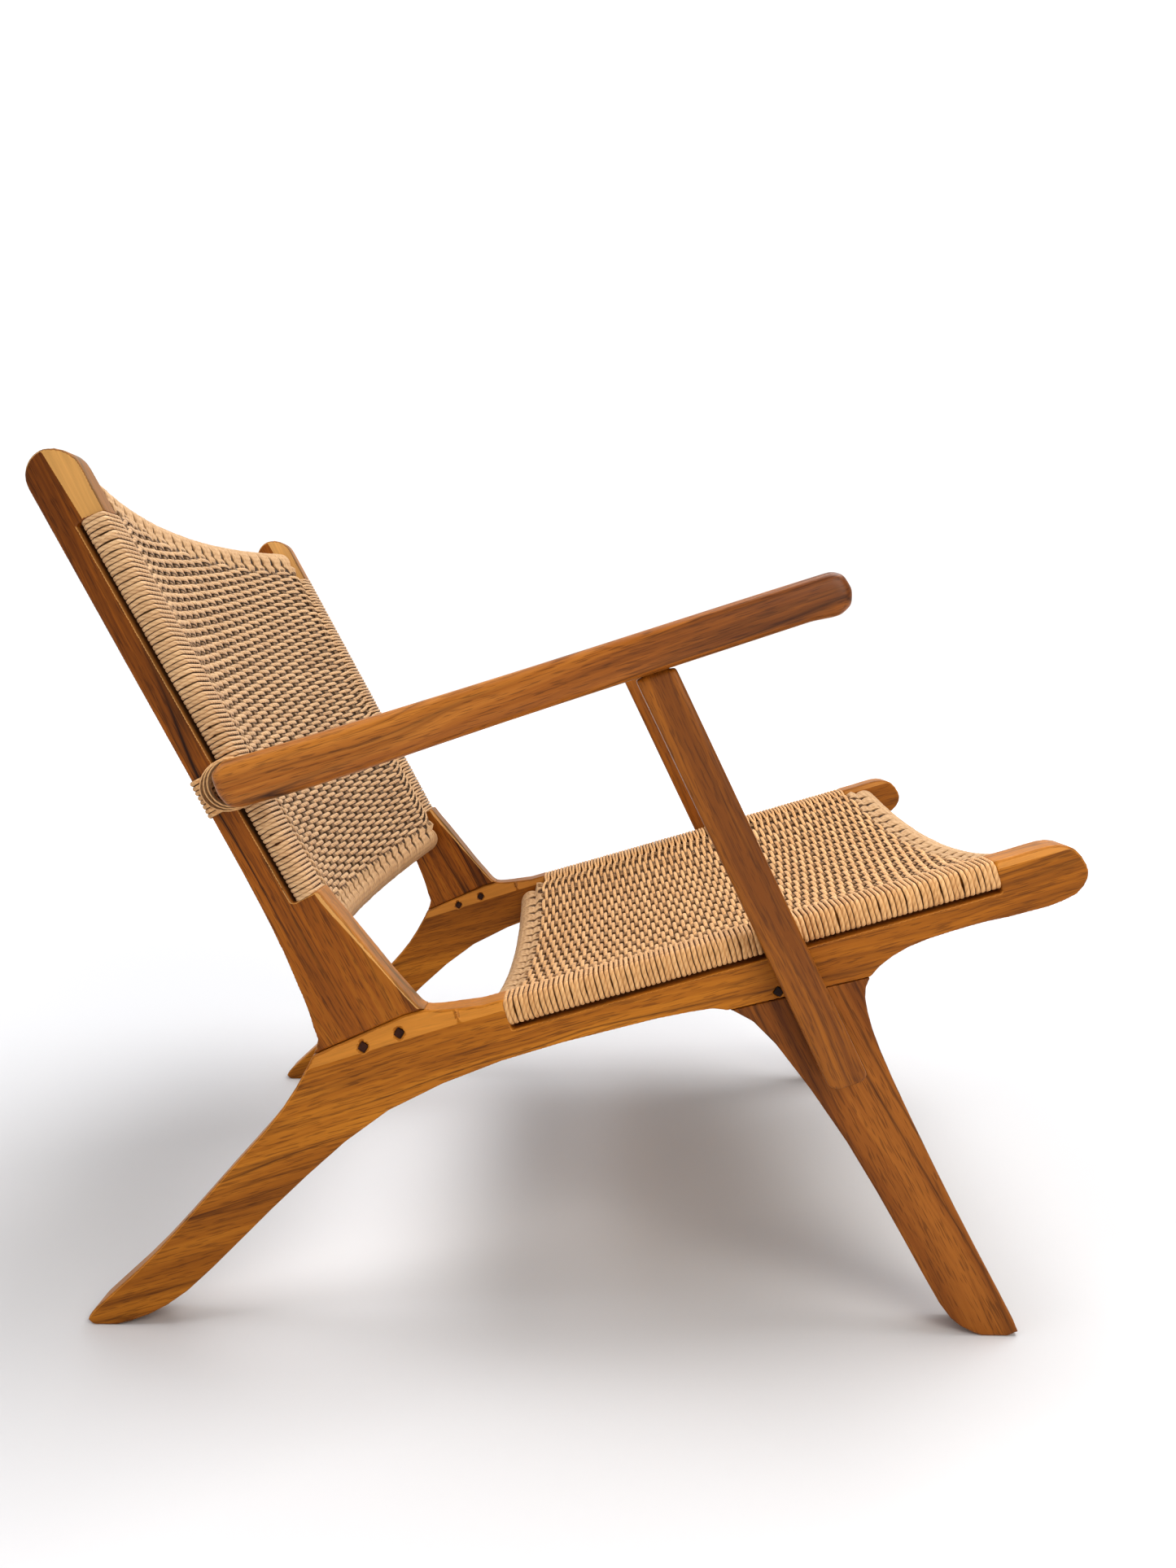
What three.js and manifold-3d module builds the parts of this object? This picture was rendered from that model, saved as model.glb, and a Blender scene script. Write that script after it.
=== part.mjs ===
// Lounge armchair: teak side frames, curved cross rails and a woven cord seat and back.
// Millimetres, +Z up. X is lateral (the sitter's right is -X), the front of the chair is -Y,
// and the floor is Z = 0. The two sides are mirror images in the plane X = 0.
import * as THREE from 'three';
import { mergeVertices } from 'three/addons/utils/BufferGeometryUtils.js';
import Module from 'manifold-3d';

// ---- driving dimensions -------------------------------------------------------------------
const FRAME_HALF_WIDTH = 314.7;      // centre plane to the outer face of a side frame
const FRAME_THICK = 34;              // side frame plank
const EDGE_ROUND = 1;                // eased edges of the planks
const INNER_X = FRAME_HALF_WIDTH - FRAME_THICK;
const GAP = 0.3;                     // clearance between touching pieces

const SEAT_ORIGIN = [38.9, 256.6];   // y, z of the rear end of the seat slot's lower edge
const SEAT_SLOPE = 16.4;             // degrees, rising towards the front
const SEAT_SLOT_LENGTH = 410;
const RAIL_TOP = 25.6;               // top edge of the side rail above the slot's lower edge

const BACK_ORIGIN = [259.5, 390];    // y, z of a point on the post's rear edge
const BACK_RECLINE = 28;             // degrees from vertical
const POST_DEPTH = 44;               // rear edge to front edge
const POST_TOP = 339;                // centre of the round top, along the post
const BACK_SLOT = { low: -47, high: 297, lowDepth: 23.5, highDepth: 19.5 };

const SLOT_WIDTH = 6.5;              // between the solid part of a member and its slotted bar
const WRAP_THICK = 3.2;              // cord lying on a bar
const WRAP_IN_SLOT = 2.7;            // the same cord squeezed in the slot

const CROSS_RAIL_RADIUS = 14;
const CROSS_RAIL_BOW = 28;           // how far each cross rail's middle curves away from the sitter
const TENON_RADIUS = 9;
const TENON_LENGTH = 20;
const WEAVE_THICK = 6;

const ARM_THICK = 36;                // lateral width of an armrest
const ARM_ROUND = 8;                 // rounding of its edges
const ARM_STANDOFF = 12;             // side frame to armrest
const STRUT_THICK = 28;
const PEG_SIDE = 6.3;                // square pegs, set on their corners

const TEAK = 0xa5642d;
const TEAK_DARK = 0x3c2012;
const CORD = 0xc9a26d;
const STEEL = 0x8d8f92;

// ---- local directions of the seat and of the back -------------------------------------------
const rad = THREE.MathUtils.degToRad;
const seatAlong = new THREE.Vector2(-Math.cos(rad(SEAT_SLOPE)), Math.sin(rad(SEAT_SLOPE)));
const seatUp = new THREE.Vector2(Math.sin(rad(SEAT_SLOPE)), Math.cos(rad(SEAT_SLOPE)));
const backAlong = new THREE.Vector2(Math.sin(rad(BACK_RECLINE)), Math.cos(rad(BACK_RECLINE)));
const backFront = new THREE.Vector2(-Math.cos(rad(BACK_RECLINE)), Math.sin(rad(BACK_RECLINE)));
// Side-view point (y, z) at a distance along the rail or post and a height off its base line.
const onSeat = (along, up) => new THREE.Vector2(...SEAT_ORIGIN)
  .addScaledVector(seatAlong, along).addScaledVector(seatUp, up);
const onBack = (along, front) => new THREE.Vector2(...BACK_ORIGIN)
  .addScaledVector(backAlong, along).addScaledVector(backFront, front);
const yz = (y, z) => new THREE.Vector2(y, z);

// ---- solids -----------------------------------------------------------------------------------
const wasm = await Module();
wasm.setup();

function solid(geometry) {
  const bare = geometry.clone();
  bare.deleteAttribute('normal');
  bare.deleteAttribute('uv');
  const merged = mergeVertices(bare, 1e-4);
  return new wasm.Manifold(new wasm.Mesh({
    numProp: 3,
    vertProperties: new Float32Array(merged.attributes.position.array),
    triVerts: new Uint32Array(merged.index.array),
  }));
}

function geometryOf(body) {
  const mesh = body.getMesh();
  const geometry = new THREE.BufferGeometry();
  geometry.setAttribute('position', new THREE.BufferAttribute(new Float32Array(mesh.vertProperties), 3));
  geometry.setIndex(new THREE.BufferAttribute(new Uint32Array(mesh.triVerts), 1));
  geometry.computeVertexNormals();
  return geometry;
}

// Mirror image in X = 0, with the triangles turned round so that they still face outwards.
function mirrored(geometry) {
  const copy = geometry.clone();
  copy.scale(-1, 1, 1);
  const index = copy.index.array;
  for (let i = 0; i < index.length; i += 3) {
    [index[i], index[i + 1]] = [index[i + 1], index[i]];
  }
  copy.computeVertexNormals();
  return copy;
}

// Extrusion of a side-view outline (y, z) between two X values, with eased edges.
function plank(outline, xLow, xHigh, ease = 0, easeSteps = 1, holes = []) {
  const shape = new THREE.Shape(outline);
  holes.forEach((hole) => shape.holes.push(new THREE.Path(hole)));
  const geometry = new THREE.ExtrudeGeometry(shape, {
    depth: xHigh - xLow - 2 * ease,
    steps: 1,
    bevelEnabled: ease > 0,
    bevelThickness: ease,
    bevelSize: ease,
    bevelOffset: -ease,
    bevelSegments: easeSteps,
  });
  const sideView = new THREE.Matrix4().makeBasis(
    new THREE.Vector3(0, 1, 0), new THREE.Vector3(0, 0, 1), new THREE.Vector3(1, 0, 0));
  geometry.applyMatrix4(sideView);
  geometry.translate(xLow + ease, 0, 0);
  return solid(geometry);
}

// Cylinder along X through the side-view point centre.
function barX(centre, radius, xLow, xHigh, sides = 16) {
  const geometry = new THREE.CylinderGeometry(radius, radius, xHigh - xLow, sides);
  geometry.rotateZ(Math.PI / 2);
  geometry.translate((xLow + xHigh) / 2, centre.x, centre.y);
  return solid(geometry);
}

// Samples of a smooth curve through the given side-view points.
const smooth = (points, perSpan) => new THREE.SplineCurve(points).getPoints(perSpan * (points.length - 1));

// Square outline standing on its corner, turned by angle, around a side-view point.
const squareAt = (centre, side, angle) => [0, 1, 2, 3].map((i) => centre.clone().add(
  new THREE.Vector2(side / Math.SQRT2, 0).rotateAround(new THREE.Vector2(), angle + i * Math.PI / 2)));

// Outline of a rectangle whose base runs from start to end, reaching up and down off that line.
function rectangleOn(start, end, down, up) {
  const along = end.clone().sub(start).normalize();
  const across = new THREE.Vector2(-along.y, along.x);
  return [
    start.clone().addScaledVector(across, -down), end.clone().addScaledVector(across, -down),
    end.clone().addScaledVector(across, up), start.clone().addScaledVector(across, up),
  ];
}

// ---- side frame: one flowing silhouette, later cut into rail, front leg and back post --------
const OUTER = -FRAME_HALF_WIDTH;     // the sitter's right side frame is modelled, the left mirrored
const INNER = -INNER_X;
const PAST = 6;                      // cutters run this far past a face

const postShoulder = [yz(230, 220.5), yz(127.6, 267), yz(113, 271), yz(98, 275.2)];
const legShoulder = [yz(-100, 264.7), yz(-143.4, 275.6), yz(-247.8, 301.9), yz(-262, 305.5)];

const postTop = Array.from({ length: 13 }, (_, i) => {
  const turn = Math.PI * i / 12;
  return onBack(POST_TOP + (POST_DEPTH / 2) * Math.sin(turn), (POST_DEPTH / 2) * (1 - Math.cos(turn)));
});
const postFront = smooth([onBack(-5, POST_DEPTH), yz(199, 374), yz(176, 346), yz(141, 302.5),
  yz(125, 284), yz(117, 275), yz(108, 271), yz(92, 272), onSeat(-19, RAIL_TOP)], 2);
const railTip = smooth([onSeat(430, RAIL_TOP), onSeat(447, 26), onSeat(462, 25), onSeat(474, 18),
  onSeat(480, 3), onSeat(478, -8), onSeat(466, -18), onSeat(443, -21.5)], 2);
const legFront = smooth([onSeat(410, -21), yz(-331, 345), yz(-281, 327), yz(-251, 302), yz(-250, 273),
  yz(-271, 219), yz(-325, 110), yz(-376, 14), yz(-378, 3)], 3);
const archUnder = smooth([yz(-350, 0), yz(-332, 8), yz(-315, 27), yz(-284, 82), yz(-235, 165),
  yz(-176, 246), yz(-141, 273.5), yz(-105, 272), yz(-47, 258), yz(48, 230), yz(141, 187.5), yz(209, 131.5),
  yz(266, 75), yz(312, 30), yz(345, 9), yz(372, 0)], 2);
const rearLegBack = smooth([yz(397, 4), yz(393, 11), yz(379, 24.5), yz(337, 64.5), yz(277, 132),
  yz(229, 188), yz(201, 238), yz(202.5, 256), yz(211, 283), yz(233, 337), onBack(0, 0)], 3);
const silhouette = [...postTop, ...postFront, ...railTip, ...legFront, yz(-372, 0),
  ...archUnder, yz(392, 0), ...rearLegBack];

// A sloping facet takes off the edge of the frame on the far side of a line drawn on its face.
function facet({ from, to, towards, angle, reach = 60 }, face, inward) {
  const slope = Math.tan(rad(angle));
  const section = new THREE.Shape([yz(-PAST, -PAST / slope), yz(reach * slope, reach), yz(-PAST, reach)]);
  const line = to.clone().sub(from);
  const across = new THREE.Vector2(-line.y, line.x).normalize();
  if (across.dot(towards) < 0) across.negate();
  const geometry = new THREE.ExtrudeGeometry(section, { depth: line.length(), bevelEnabled: false });
  const lateral = new THREE.Vector3(inward, 0, 0);
  const towardsEdge = new THREE.Vector3(0, across.x, across.y);
  const run = new THREE.Vector3().crossVectors(lateral, towardsEdge);
  const origin = run.dot(new THREE.Vector3(0, line.x, line.y)) > 0 ? from : to;
  geometry.applyMatrix4(new THREE.Matrix4().makeBasis(lateral, towardsEdge, run)
    .setPosition(face, origin.x, origin.y));
  return solid(geometry);
}

const RAIL_FACET_ANGLE = 18;
const FOOT_TAPER = 1.8;              // brings the post's foot in to meet the rail's facet
const POST_FACET_FOOT = onBack(-57, 41.5);
const POST_FACETS = [
  { from: POST_FACET_FOOT, to: onBack(POST_TOP + 40, 22.5), towards: backFront, angle: 22 },
  { from: yz(119, 255), to: POST_FACET_FOOT, towards: backFront, angle: 22 },
  { from: onBack(-30, -40), to: onBack(-30, 200), towards: backAlong.clone().negate(),
    angle: FOOT_TAPER, reach: 200 },
];
const RAIL_FACETS = [
  { from: onSeat(-190, 13), to: onSeat(-40, 16.5), towards: seatUp, angle: RAIL_FACET_ANGLE },
  { from: onSeat(-40, 16.5), to: onSeat(500, 19), towards: seatUp, angle: RAIL_FACET_ANGLE },
];
const withFacets = (body, facets, inset) => facets.reduce((cut, line) => cut
  .subtract(facet(line, OUTER + inset, 1)).subtract(facet(line, INNER - inset, -1)), body);

const wholeFrame = plank(silhouette, OUTER, INNER, EDGE_ROUND);
const railShape = withFacets(wholeFrame, RAIL_FACETS, 0);
const postShape = withFacets(wholeFrame, POST_FACETS, 0);

// ---- slotted bars: a slot, and a recess that lets the cord lie flush with the wood -------------
const BAR_INSET = WRAP_THICK - 0.2;
const BAR_TOP = RAIL_TOP - WRAP_THICK;
const BAR_FRONT = POST_DEPTH - WRAP_THICK;
const seatBand = (from, to, low, high) => [
  onSeat(from, low), onSeat(from, high), onSeat(to, high), onSeat(to, low)];
const slotDepthAt = (along) => THREE.MathUtils.mapLinear(
  along, BACK_SLOT.low, BACK_SLOT.high, BACK_SLOT.lowDepth, BACK_SLOT.highDepth);
const backBand = (low, high, off, front) => [onBack(low, slotDepthAt(low) + off), onBack(low, front),
  onBack(high, front), onBack(high, slotDepthAt(high) + off)];

const seatBar = (slack) => withFacets(plank(
  seatBand(-PAST, SEAT_SLOT_LENGTH + PAST, SLOT_WIDTH - slack, BAR_TOP + slack),
  OUTER + BAR_INSET - slack, INNER - BAR_INSET + slack), RAIL_FACETS, BAR_INSET - slack);
const backBar = (slack) => withFacets(plank(
  backBand(BACK_SLOT.low - PAST, BACK_SLOT.high + PAST, SLOT_WIDTH - slack, BAR_FRONT + slack),
  OUTER + BAR_INSET - slack, INNER - BAR_INSET + slack), POST_FACETS, BAR_INSET - slack);
const seatRecess = plank(seatBand(0, SEAT_SLOT_LENGTH, 0, 60), OUTER - PAST, INNER + PAST);
const backRecess = plank(backBand(BACK_SLOT.low, BACK_SLOT.high, 0, 80), OUTER - PAST, INNER + PAST);
const slottedRail = railShape.subtract(seatRecess.subtract(seatBar(0)));
const slottedPost = postShape.subtract(backRecess.subtract(backBar(0)));

// Cord sleeves: what fills the recess around each bar.
const IN_SLOT = SLOT_WIDTH - WRAP_IN_SLOT;
const seatSleeve = railShape.intersect(plank(
  seatBand(GAP, SEAT_SLOT_LENGTH - GAP, IN_SLOT, 60), OUTER - PAST, INNER + PAST)).subtract(seatBar(GAP));
const backSleeve = postShape.intersect(plank(
  backBand(BACK_SLOT.low + GAP, BACK_SLOT.high - GAP, IN_SLOT, 80), OUTER - PAST, INNER + PAST))
  .subtract(backBar(GAP));

// ---- splitting the frame at its shoulders, with a hidden pegged tenon at each joint ------------
const region = (line, corners, shift) => plank(
  [...line, ...corners].map((p) => p.clone().add(yz(0, shift))), OUTER - PAST, INNER + PAST);
const postRegion = (shift) => region(postShoulder, [yz(98, 900), yz(700, 900), yz(700, 220.5)], shift);
const legRegion = (shift) => region(legShoulder, [yz(-500, 305.5), yz(-500, -50), yz(-100, -50)], shift);

const tenon = (from, to, down, up, slack) => plank(
  rectangleOn(from, to, down, up), OUTER + 11.5 - slack, INNER - 11.5 + slack);
const legTenon = (slack) => tenon(
  yz(-232 - slack, 297.9), yz(-160 + slack, 279.8), 2, 17 + slack, slack);
const postTenon = (slack) => tenon(
  yz(124 - slack, 268), yz(190 + slack, 238.6), 24 + slack, 2, slack);

const PEGS = {
  back_joint_peg_front: yz(131.7, 252.4),
  back_joint_peg_rear: yz(161.3, 240.6),
  front_joint_peg_rear: yz(-177.3, 290),
  front_joint_peg_front: yz(-202.3, 296.3),
};
const pegAt = (centre, slack) => plank(
  squareAt(centre, PEG_SIDE + 2 * slack, rad(-SEAT_SLOPE)), OUTER - PAST, INNER + PAST);

// ---- cross rails: round wood bowed away from the sitter, on straight round tenons --------------
const SEAT_RAILS = {
  seat_rear_rail: { at: (bow) => onSeat(-21.5, -3 - bow) },
  seat_front_rail: { at: (bow) => onSeat(430, 4 - bow) },
};
const BACK_RAILS = {
  back_top_rail: { at: (bow) => onBack(323, 24 - bow) },
  back_bottom_rail: { at: (bow) => onBack(-77, 22.5 - bow) },
};
const CROSS_RAILS = { ...SEAT_RAILS, ...BACK_RAILS };
const bowAt = (x) => CROSS_RAIL_BOW * (1 - (x / INNER_X) ** 2);

// Round bar following a cross rail's parabola, trimmed square to the side frames.
function bowedBar(rail, radius, halfLength, sides = 12, steps = 12) {
  const reach = INNER_X + 4;
  const at = (x, bow) => new THREE.Vector3(x, rail.at(bow).x, rail.at(bow).y);
  const curve = new THREE.QuadraticBezierCurve3(
    at(-reach, bowAt(reach)), at(0, 2 * bowAt(0) - bowAt(reach)), at(reach, bowAt(reach)));
  const round = new THREE.Shape(Array.from({ length: sides }, (_, i) => yz(
    radius * Math.cos(2 * Math.PI * i / sides), radius * Math.sin(2 * Math.PI * i / sides))));
  const bar = solid(new THREE.ExtrudeGeometry(round, { steps, extrudePath: curve, bevelEnabled: false }));
  return bar.intersect(boxX(-halfLength, halfLength));
}

function boxX(low, high) {
  return plank([yz(-900, -300), yz(900, -300), yz(900, 1200), yz(-900, 1200)], low, high);
}

function crossRail(rail) {
  return bowedBar(rail, CROSS_RAIL_RADIUS, INNER_X - GAP)
    .add(barX(rail.at(0), TENON_RADIUS, -INNER_X - TENON_LENGTH, INNER_X + TENON_LENGTH)
      .subtract(boxX(-INNER_X + 4, INNER_X - 4)));
}
const railSockets = Object.values(CROSS_RAILS).map(({ at }) => barX(
  at(0), TENON_RADIUS + GAP, INNER - TENON_LENGTH - GAP, INNER + PAST));

function railWrap(rail) {
  return bowedBar(rail, CROSS_RAIL_RADIUS + WRAP_THICK, INNER_X - 2 * GAP)
    .subtract(bowedBar(rail, CROSS_RAIL_RADIUS + GAP, INNER_X));
}

// ---- armrest, strut and the stub that carries the arm's rear end -------------------------------
const ARM_LOW = OUTER - ARM_STANDOFF - ARM_THICK;
const ARM_HIGH = OUTER - ARM_STANDOFF;
const armOutline = [...smooth([yz(-205, 622.5), yz(-125, 597.2), yz(31, 547.3), yz(181, 501), yz(258, 478)], 3),
  yz(266.5, 467.5), yz(261, 451.8), yz(253, 442.5), ...smooth([yz(245, 442), yz(181.7, 460.4), yz(40.4, 508.5),
    yz(-116, 560.1), yz(-193, 585.5)], 3), yz(-213, 589.5), yz(-221, 597.3), yz(-221, 609), yz(-214, 620)]
  .reverse();

const STRUT_LEAN = 25.75;            // degrees from vertical
const STRUT_WIDTH = 32;
const strutUp = yz(Math.sin(rad(STRUT_LEAN)), Math.cos(rad(STRUT_LEAN)));
const strutLow = yz(-231, 222);
const onStrut = (along, across) => strutLow.clone().addScaledVector(strutUp, along)
  .add(yz(strutUp.y, -strutUp.x).multiplyScalar(across));
const half = STRUT_WIDTH / 2;
const strutOutline = [onStrut(3, -half), onStrut(0, -half + 2.5), onStrut(-1.5, -half + 7), onStrut(0.5, 9),
  onStrut(2.5, 13), onStrut(7, half), onStrut(420, half), onStrut(420, -half)];
const STRUT_HIGH = OUTER - GAP;
const STRUT_LOW = STRUT_HIGH - STRUT_THICK;
const strutTenon = (slack) => plank(
  [onStrut(330, -10 - slack), onStrut(330, 10 + slack), onStrut(377 + slack, 10 + slack),
    onStrut(377 + slack, -10 - slack)], ARM_HIGH - 14 - slack, ARM_HIGH - 4 + slack);

const ARM_PIVOT = onBack(61, 34);    // where arm and post are tied together
const STUB_RADIUS = 3.5;
const stub = (slack) => barX(ARM_PIVOT, STUB_RADIUS + slack, ARM_HIGH - 16 - slack, OUTER + 15 + slack, 12);

const SCREWS = { strut_screw_upper: yz(-192, 314), strut_screw_lower: yz(-219, 252) };
const SCREW = { shank: 2.2, head: 4.5, headDeep: 3, length: 50 };
function screw(centre, slack) {
  return barX(centre, SCREW.shank + slack, INNER - 1 - SCREW.length - slack, INNER - 1, 12)
    .add(barX(centre, SCREW.head + slack, INNER - 1 - SCREW.headDeep - slack, INNER - 1 + (slack ? PAST : 0), 16));
}

// ---- cord: panels, sleeves and the lashing at the arm ------------------------------------------
// A woven panel is a dished slab: high on the side bars and low between the bowed cross rails.
function panel(onPlane, from, to, middle, side) {
  const halfSpan = INNER_X - 2 * GAP;
  const xs = Array.from({ length: 17 }, (_, i) => -halfSpan + 2 * halfSpan * i / 16);
  const top = xs.map((x) => yz(x, middle + (side - middle) * (x / halfSpan) ** 2));
  const section = new THREE.Shape([...top.map((p) => yz(p.x, p.y - WEAVE_THICK)), ...top.reverse()]);
  const geometry = new THREE.ExtrudeGeometry(section, { depth: to - from, bevelEnabled: false });
  const origin = onPlane(from, 0);
  const along = onPlane(from + 1, 0).sub(origin);
  const up = onPlane(from, 1).sub(origin);
  const lift = new THREE.Vector3(0, up.x, up.y);
  const run = new THREE.Vector3(0, along.x, along.y);
  const lateral = new THREE.Vector3().crossVectors(lift, run);
  geometry.applyMatrix4(new THREE.Matrix4().makeBasis(lateral, lift, run)
    .setPosition(0, origin.x, origin.y));
  return solid(geometry);
}

const clearOf = (body, rails) => Object.values(rails).reduce((cut, rail) => cut.subtract(
  bowedBar(rail, CROSS_RAIL_RADIUS + WRAP_THICK + GAP, INNER_X)), body);
const seatPanel = clearOf(panel(onSeat, -14, 422, -11, 22), SEAT_RAILS);
const backPanel = clearOf(panel(onBack, -68, 314, 11, 40), BACK_RAILS);

const LASHING = { low: 38, high: 79, thick: 3 };
const lashingBlock = (grow) => plank(
  [onBack(LASHING.low - grow, -LASHING.thick - grow),
    onBack(LASHING.low - grow, slotDepthAt(LASHING.low) + LASHING.thick - GAP + grow),
    onBack(LASHING.high + grow, slotDepthAt(LASHING.high) + LASHING.thick - GAP + grow),
    onBack(LASHING.high + grow, -LASHING.thick - grow)],
  OUTER - LASHING.thick - grow, INNER + LASHING.thick + grow);
const lashingWrap = lashingBlock(0).subtract(plank(
  [onBack(0, -GAP), onBack(0, slotDepthAt(0) + GAP), onBack(120, slotDepthAt(120) + GAP), onBack(120, -GAP)],
  OUTER - GAP, INNER + GAP));

const COLLAR = { bore: 17.5, postRadius: 27, armRadius: 22, squash: 0.88 };
function collarRing(inner, outerAtPost, outerAtArm, slack) {
  const deep = ARM_STANDOFF - 2 * GAP + 2 * slack;
  const profile = [yz(inner, 0), yz(outerAtPost, 0), yz(outerAtArm, deep), yz(inner, deep), yz(inner, 0)];
  const geometry = new THREE.LatheGeometry(profile, 32);
  geometry.rotateZ(Math.PI / 2);
  geometry.scale(1, 1, COLLAR.squash);
  geometry.translate(OUTER - GAP + slack, ARM_PIVOT.x, ARM_PIVOT.y);
  return solid(geometry);
}
const lashingCollar = collarRing(COLLAR.bore, COLLAR.postRadius, COLLAR.armRadius, 0)
  .subtract(lashingBlock(GAP));
const spacerDisc = barX(ARM_PIVOT, COLLAR.bore * COLLAR.squash - GAP, ARM_HIGH + GAP, OUTER - GAP, 24)
  .subtract(lashingBlock(GAP));

// ---- the pieces of the right-hand side ---------------------------------------------------------
const drill = (body, cutters) => cutters.reduce((cut, tool) => cut.subtract(tool), body);
const pegHoles = Object.values(PEGS).map((centre) => pegAt(centre, GAP));
const screwHoles = Object.values(SCREWS).map((centre) => screw(centre, GAP));
const frameHoles = [...railSockets, ...pegHoles, ...screwHoles, stub(GAP)];

const sidePieces = {
  side_rail: [drill(slottedRail.subtract(postRegion(-GAP / 2)).subtract(legRegion(GAP / 2)),
    [...frameHoles, legTenon(GAP), postTenon(GAP)]), TEAK],
  front_leg: [drill(slottedRail.intersect(legRegion(-GAP / 2)).add(legTenon(0)), frameHoles), TEAK],
  back_post: [drill(slottedPost.intersect(postRegion(GAP / 2)).add(postTenon(0)), frameHoles), TEAK],
  arm: [drill(plank(armOutline, ARM_LOW, ARM_HIGH, ARM_ROUND, 3), [strutTenon(GAP), stub(GAP)]), TEAK],
  arm_strut: [drill(plank(strutOutline, STRUT_LOW, STRUT_HIGH, EDGE_ROUND)
    .subtract(plank([yz(-220, 594.4), yz(220, 447.3), yz(220, 800), yz(-220, 800)],
      OUTER - 80, OUTER + PAST)).add(strutTenon(0)), screwHoles), TEAK],
  arm_spacer: [spacerDisc.add(stub(0)), TEAK],
  seat_side_wrap: [seatSleeve, CORD],
  back_side_wrap: [backSleeve.subtract(stub(GAP)), CORD],
  lashing_post_wrap: [lashingWrap, CORD],
  lashing_collar: [lashingCollar, CORD],
};
Object.entries(PEGS).forEach(([name, centre]) => {
  sidePieces[name] = [pegAt(centre, 0).intersect(railShape), TEAK_DARK];
});
Object.entries(SCREWS).forEach(([name, centre]) => {
  sidePieces[name] = [screw(centre, 0), STEEL];
});

// ---- assembly ----------------------------------------------------------------------------------
const SURFACE = {
  [TEAK]: { roughness: 0.5, metalness: 0 },
  [TEAK_DARK]: { roughness: 0.55, metalness: 0 },
  [CORD]: { roughness: 0.85, metalness: 0 },
  [STEEL]: { roughness: 0.35, metalness: 1 },
};

const chair = new THREE.Group();
chair.name = 'lounge_armchair';
function place(name, geometry, color) {
  const mesh = new THREE.Mesh(geometry, new THREE.MeshStandardMaterial({ color, ...SURFACE[color] }));
  mesh.name = name;
  chair.add(mesh);
}

Object.entries(sidePieces).forEach(([name, [body, color]]) => {
  const geometry = geometryOf(body);
  place(`${name}_right`, geometry, color);
  place(`${name}_left`, mirrored(geometry), color);
});
Object.entries(CROSS_RAILS).forEach(([name, rail]) => {
  place(name, geometryOf(crossRail(rail)), TEAK);
  place(name.replace('_rail', '_wrap'), geometryOf(railWrap(rail)), CORD);
});
place('seat_weave', geometryOf(seatPanel), CORD);
place('back_weave', geometryOf(backPanel), CORD);

// The origin is the middle of the chair's footprint, on the floor.
const middle = new THREE.Box3().setFromObject(chair).getCenter(new THREE.Vector3());
chair.children.forEach((mesh) => mesh.geometry.translate(-middle.x, -middle.y, 0));

export default chair;
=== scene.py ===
"""Looks of the lounge armchair: teak side frames, bowed rails and a woven cord seat and back.

Lengths in the functions below are in millimetres until a mesh is made, as in the CAD part.
X is lateral, the front of the chair is -Y, +Z is up.
"""
import math

import bpy
import numpy as np
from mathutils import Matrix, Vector


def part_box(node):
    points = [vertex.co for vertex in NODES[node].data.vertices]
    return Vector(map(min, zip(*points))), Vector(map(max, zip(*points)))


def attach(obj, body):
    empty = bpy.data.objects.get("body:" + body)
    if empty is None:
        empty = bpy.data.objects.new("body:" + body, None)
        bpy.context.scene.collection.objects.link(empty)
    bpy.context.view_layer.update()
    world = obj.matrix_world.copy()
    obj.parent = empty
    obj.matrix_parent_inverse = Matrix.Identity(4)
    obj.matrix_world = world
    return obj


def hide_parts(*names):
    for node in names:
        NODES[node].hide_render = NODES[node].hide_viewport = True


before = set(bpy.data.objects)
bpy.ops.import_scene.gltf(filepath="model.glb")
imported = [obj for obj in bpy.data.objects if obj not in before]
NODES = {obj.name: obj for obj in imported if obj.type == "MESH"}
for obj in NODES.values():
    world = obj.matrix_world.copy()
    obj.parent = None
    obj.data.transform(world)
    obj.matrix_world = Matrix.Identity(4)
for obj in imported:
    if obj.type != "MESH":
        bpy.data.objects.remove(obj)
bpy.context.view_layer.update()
scene = bpy.context.scene
rng = np.random.default_rng(7)

# ---------------------------------------------------------------- camera
cam_data = bpy.data.cameras.new("camera")
cam_data.sensor_fit = "VERTICAL"
cam_data.sensor_height = 36.0
cam_data.lens = 26.15
cam = bpy.data.objects.new("camera", cam_data)
cam.location = (-1.21975, -0.0437, 0.5397)
cam.rotation_euler = (math.radians(84.85), math.radians(-0.145), math.radians(-88.95))
scene.collection.objects.link(cam)
scene.camera = cam

# ---------------------------------------------------------------- dimensions
MM = 0.001
HALF = 314.7                          # centre plane to the outer face of a side frame
THICK = 34.0                          # side frame plank
INNER = HALF - THICK
SHIFT_Y = -4.693                      # CAD origin: middle of the footprint
SEAT0, SLOPE = np.array([38.9, 256.6]), math.radians(16.4)      # y, z of the slot's rear end
BACK0, RECLINE = np.array([259.5, 390.0]), math.radians(28.0)   # a point on the post's rear edge
SEAT_ALONG = np.array([-math.cos(SLOPE), math.sin(SLOPE)])
SEAT_UP = np.array([math.sin(SLOPE), math.cos(SLOPE)])
BACK_ALONG = np.array([math.sin(RECLINE), math.cos(RECLINE)])
BACK_FRONT = np.array([-math.cos(RECLINE), math.sin(RECLINE)])
SLOT_WIDTH = 6.5
SEAT_BAR_TOP = 22.4                   # bare wood of the slotted bars, off each member's base line
BACK_BAR_FRONT = 40.8
BACK_SLOT_LOW, BACK_SLOT_HIGH = -47, 297
RAIL_R = 14.0                         # cross rails
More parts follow.
